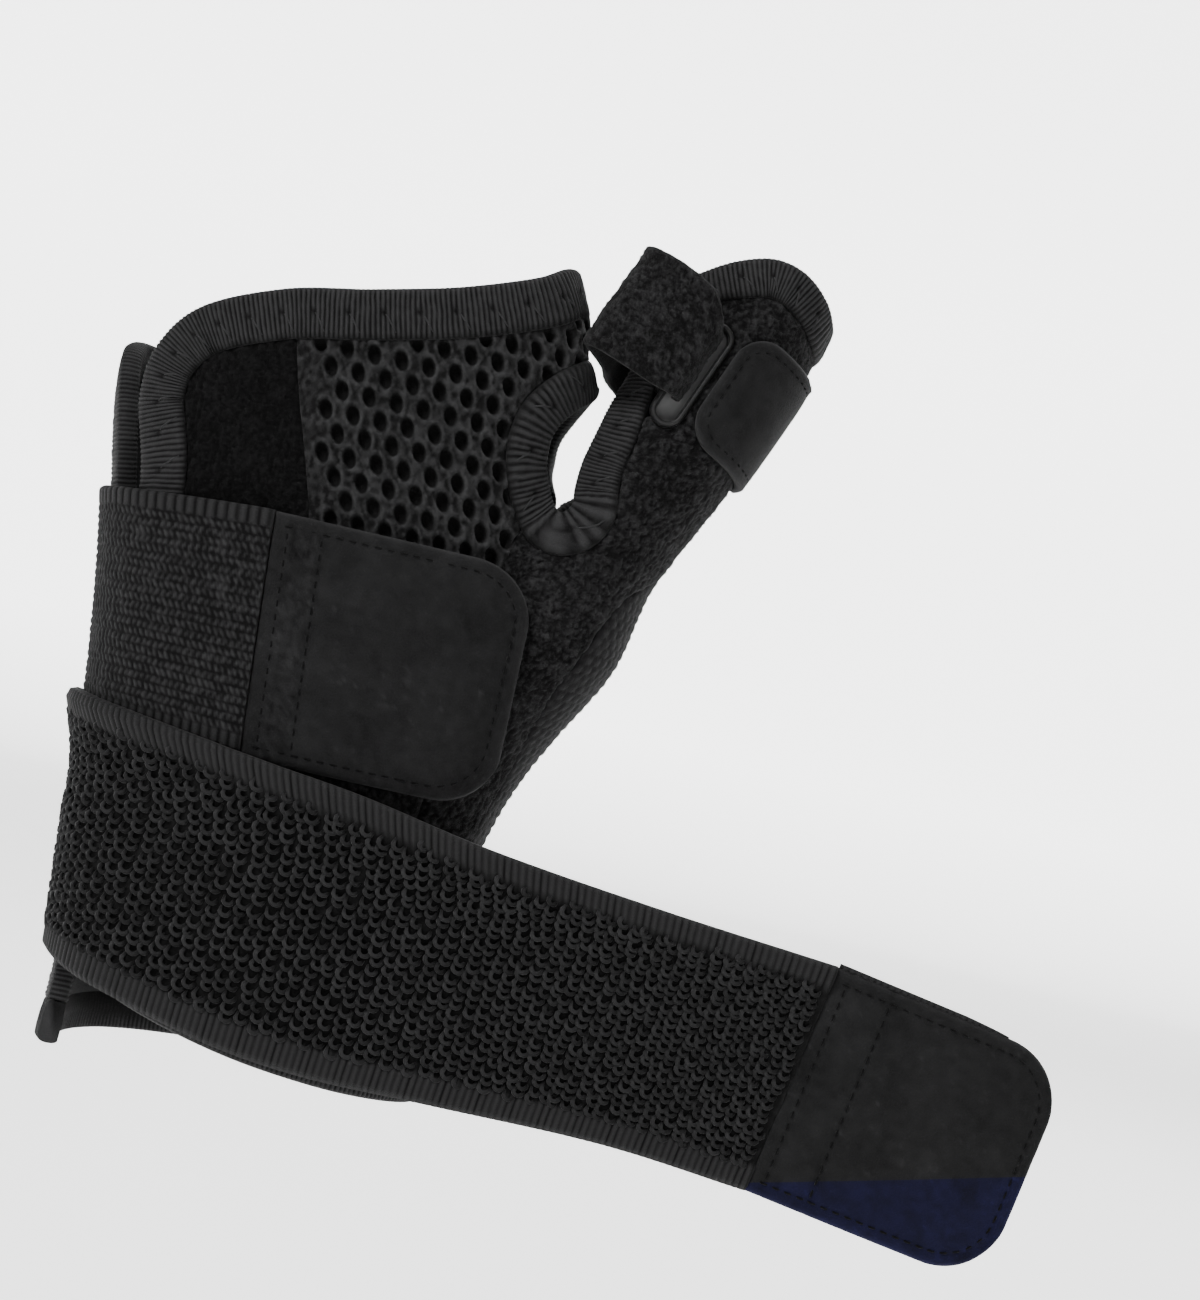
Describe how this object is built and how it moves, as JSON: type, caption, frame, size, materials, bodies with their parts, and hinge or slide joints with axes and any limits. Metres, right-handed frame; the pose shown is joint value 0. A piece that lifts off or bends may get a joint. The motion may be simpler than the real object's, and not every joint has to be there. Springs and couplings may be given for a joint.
{
  "type": "wrist and thumb support sleeve",
  "caption": "Soft wrap-round wrist support for a left hand, with a mesh back, a thumb sleeve, taped edges and elastic straps that close with hook tabs.",
  "frame": {"origin": "middle of the wrist, inside the sleeve", "axes": "+Z along the wrist toward the fingers, +X to the thumb side, -Y out of the back of the hand"},
  "size_m": [0.212, 0.0641, 0.1856],
  "materials": {
    "spacer_mesh": "perforated knit mesh, matt black",
    "loop_fleece": "brushed loop pile, matt black",
    "waffle_knit": "waffle knit, matt black",
    "ribbed_tape": "ribbed edge tape with zigzag stitching, black",
    "woven_elastic": "woven elastic, matt black",
    "knit_elastic": "knitted loop elastic with ribbed edges, black",
    "suede_tab": "fine microsuede, stitched border, charcoal black",
    "slot_plastic": "moulded plastic slot, mid grey"
  },
  "bodies": {
    "root": {"mesh_panel": "spacer_mesh", "web_panel": "spacer_mesh", "ulnar_loop_patch": "loop_fleece", "wrist_loop_panel": "loop_fleece", "thumb_loop_panel": "loop_fleece", "thumb_back_panel": "loop_fleece", "side_knit_panel": "waffle_knit", "palm_panel": "waffle_knit", "dorsal_edge_binding": "ribbed_tape", "palm_edge_binding": "ribbed_tape", "wrist_binding": "ribbed_tape", "thumb_hole_binding": "ribbed_tape", "thumb_rim_binding": "ribbed_tape", "thumb_slot_eyelet": "slot_plastic", "thumb_strap": "loop_fleece", "thumb_strap_tab": "suede_tab", "upper_strap": "woven_elastic", "upper_strap_tab": "suede_tab", "lower_strap": "knit_elastic", "lower_strap_tab": "suede_tab"}
  },
  "joints": []
}
